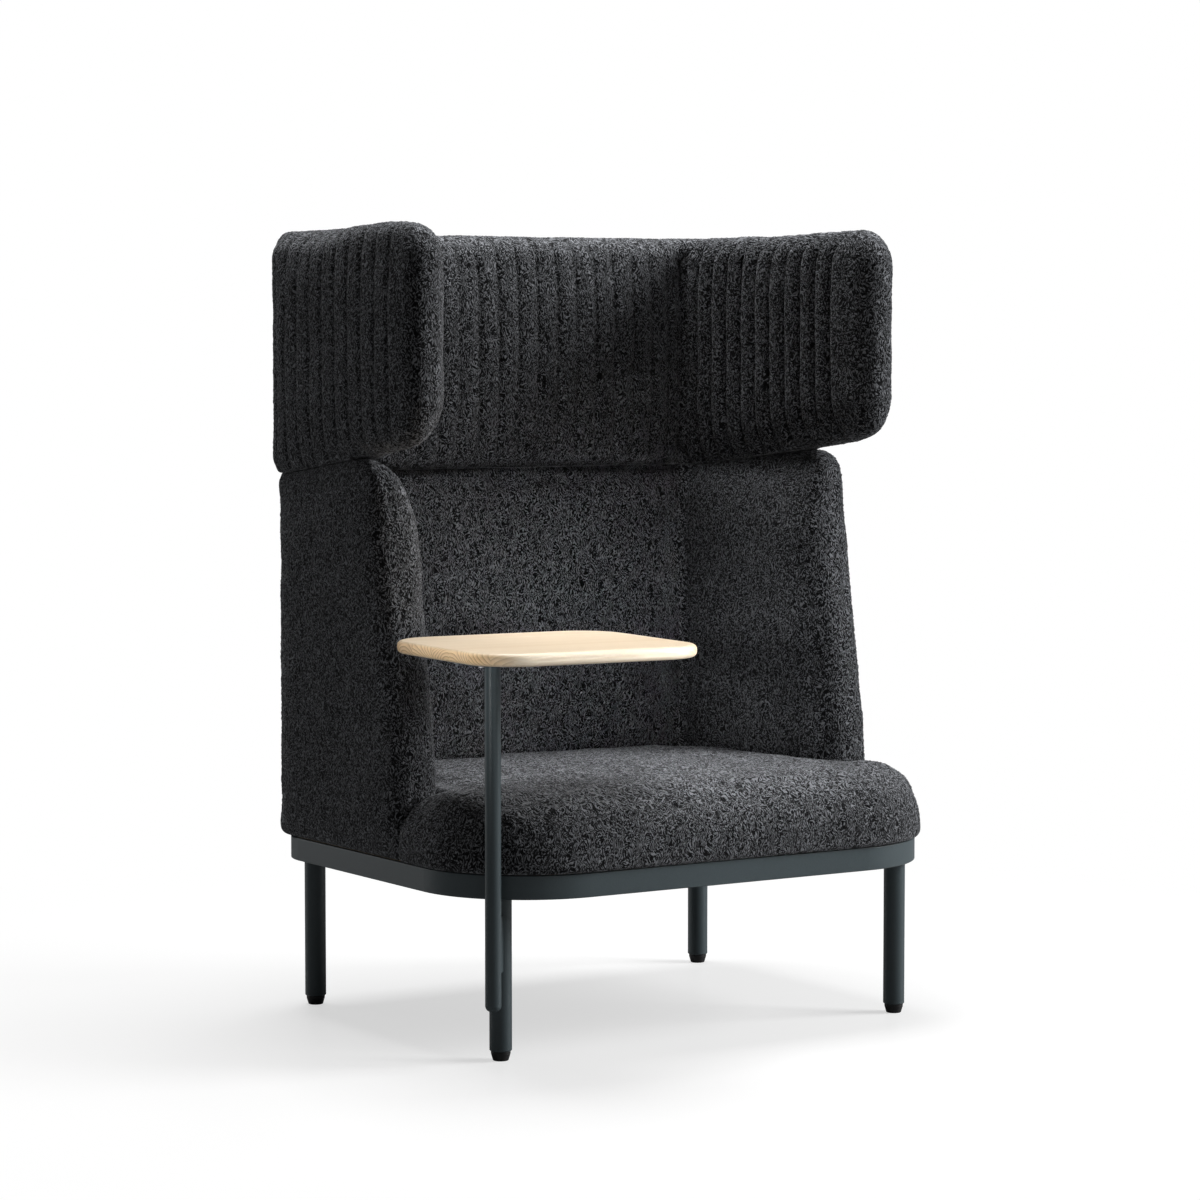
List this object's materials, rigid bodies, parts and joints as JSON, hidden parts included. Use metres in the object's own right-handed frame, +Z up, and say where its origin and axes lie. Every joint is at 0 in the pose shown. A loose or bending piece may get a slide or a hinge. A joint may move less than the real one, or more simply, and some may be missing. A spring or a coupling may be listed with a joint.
{
  "type": "lounge chair with side table",
  "caption": "High-backed upholstered lounge chair with a winged, channelled hood on a round-legged steel base, and a wooden side table that swivels on a post.",
  "frame": {"origin": "on the floor, on the chair's centre plane, midway between the front and rear legs", "axes": "+Z up, +X to the right of the picture's left arm across the seat, the chair faces -Y"},
  "size_m": [0.9738, 0.8562, 1.2926],
  "materials": {
    "frame": "satin",
    "upholstery": "matte",
    "table_wood": "satin",
    "plywood": "matte",
    "glide": "matte",
    "bush": "matte",
    "plain_steel": "satin",
    "felt": "matte"
  },
  "bodies": {
    "chair": {"arm_board_left": "plywood", "arm_board_right": "plywood", "arm_screws": "plain_steel", "back_board": "plywood", "back_shell": "upholstery", "base_band": "frame", "cross_rail_front": "frame", "cross_rail_rear": "frame", "deck_bolts": "plain_steel", "deck_screws": "plain_steel", "dust_cover": "felt", "glide_front_left": "glide", "glide_front_right": "glide", "glide_rear_left": "glide", "glide_rear_right": "glide", "hood": "upholstery", "hood_board": "plywood", "hood_stay_left": "plain_steel", "hood_stay_right": "plain_steel", "leg_bolts": "plain_steel", "leg_front_left": "frame", "leg_front_right": "frame", "leg_plates": "frame", "leg_rear_left": "frame", "leg_rear_right": "frame", "lower_bush": "bush", "post_bracket": "frame", "post_end_cap": "frame", "seat_cushion": "upholstery", "seat_deck": "plywood", "stay_bolts": "plain_steel", "table_post": "frame", "upper_bush": "bush", "wing_board_left": "plywood", "wing_board_right": "plywood", "wing_screws": "plain_steel"},
    "table": {"table_top": "table_wood", "table_plate": "frame", "table_spindle": "plain_steel", "table_screws": "plain_steel"}
  },
  "joints": [
    {"name": "table_swivel", "type": "hinge", "parent": "chair", "child": "table", "pos_m": [-0.42115, -0.33859, 0.6], "axis": [0, 0, 1], "range_deg": [-180, 15]}
  ]
}
